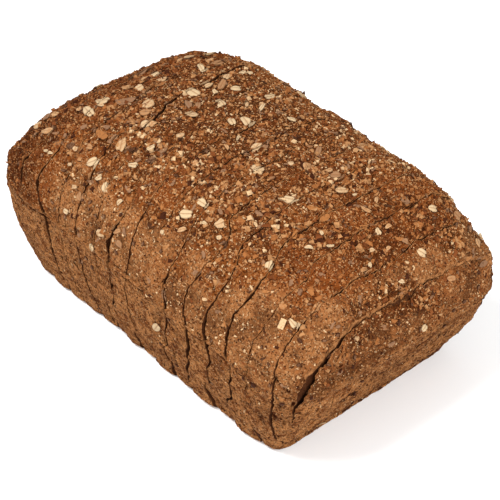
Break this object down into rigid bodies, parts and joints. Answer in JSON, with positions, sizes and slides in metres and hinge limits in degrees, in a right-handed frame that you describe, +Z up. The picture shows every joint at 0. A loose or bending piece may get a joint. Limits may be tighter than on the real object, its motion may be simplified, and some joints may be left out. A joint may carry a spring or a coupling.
{
  "type": "sliced wheatmeal grain loaf",
  "caption": "Dense brown tin loaf, sliced from end to end and standing whole, its rough crown covered with rolled oats, husks and seeds.",
  "frame": {"origin": "middle of the loaf's flat foot, on the surface that it stands on", "axes": "+X along the loaf to the thin right heel, -Y towards the near long wall, +Z up"},
  "size_m": [0.2046, 0.1336, 0.1],
  "materials": {
    "crust": "dry, matt, rough bread crust",
    "crumb": "matt open bread crumb",
    "oat": "matt rolled oat flakes",
    "husk": "matt bran and husk flakes",
    "seed": "satin dark linseeds"
  },
  "bodies": {
    "root": {"heel_right": "crust", "slice_01": "crust", "slice_02": "crust", "slice_03": "crust", "slice_04": "crust", "slice_05": "crust", "slice_06": "crust", "slice_07": "crust", "slice_08": "crust", "slice_09": "crust", "slice_10": "crust", "slice_11": "crust", "slice_12": "crust", "slice_13": "crust", "slice_14": "crust", "heel_left": "crust"}
  },
  "joints": []
}
